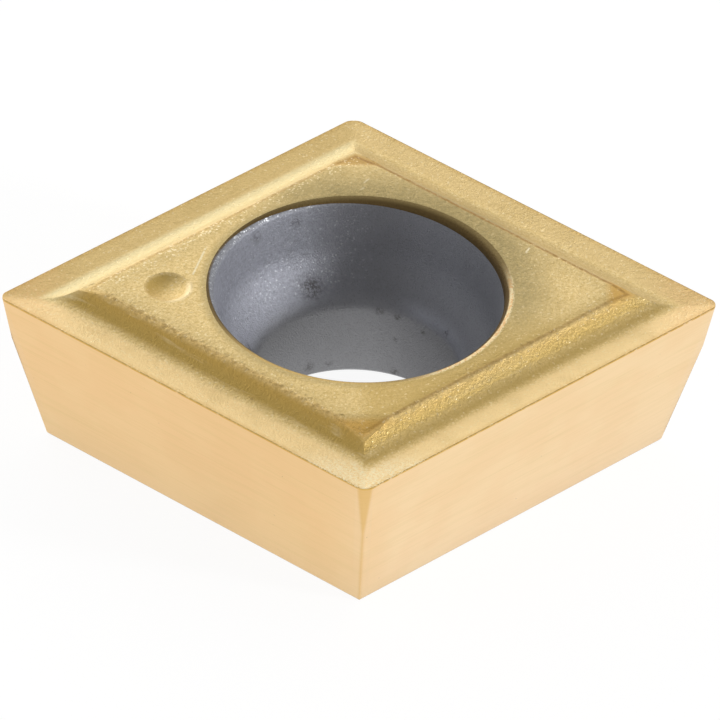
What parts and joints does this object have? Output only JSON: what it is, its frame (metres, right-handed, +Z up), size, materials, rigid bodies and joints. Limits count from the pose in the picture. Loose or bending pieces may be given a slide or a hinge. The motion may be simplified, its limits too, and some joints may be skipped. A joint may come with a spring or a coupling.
{
  "type": "carbide insert",
  "caption": "Rhombic indexable cutting insert with ground clearance flanks, a pressed chip breaker, a raised land and a screw hole.",
  "frame": {"origin": "centre of the seat face, on the screw hole's axis", "axes": "+Z up out of the pocket, along the screw hole; +X along the long diagonal, towards the sharper corner that has no dimple; +Y along the short diagonal"},
  "size_m": [0.0098, 0.0082, 0.0026],
  "materials": {
    "coated_carbide": "satin"
  },
  "bodies": {
    "root": {"insert": "coated_carbide"}
  },
  "joints": []
}
